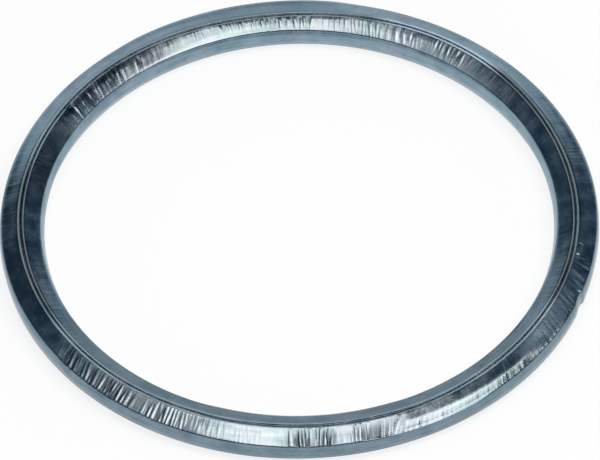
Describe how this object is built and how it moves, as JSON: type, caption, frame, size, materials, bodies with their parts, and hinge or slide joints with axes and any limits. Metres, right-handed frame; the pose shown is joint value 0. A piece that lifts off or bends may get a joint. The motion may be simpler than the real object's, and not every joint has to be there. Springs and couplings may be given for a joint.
{
  "type": "exhaust gasket",
  "caption": "Round exhaust pipe gasket: a ring folded from thin sheet metal, with sloping creased flaps that meet in a seam along the top ridge and bulged inner and outer walls.",
  "frame": {"origin": "centre of the ring, level with the flat foot it lies on", "axes": "+Z along the ring's axis, up to the side with the seam; the camera of the picture stands on the -Y side"},
  "size_m": [0.08, 0.08, 0.0044],
  "materials": {
    "bright_sheet": "thin bright blue-grey plated sheet steel, smooth walls, finely creased flaps"
  },
  "bodies": {
    "root": {"gasket_ring": "bright_sheet"}
  },
  "joints": []
}
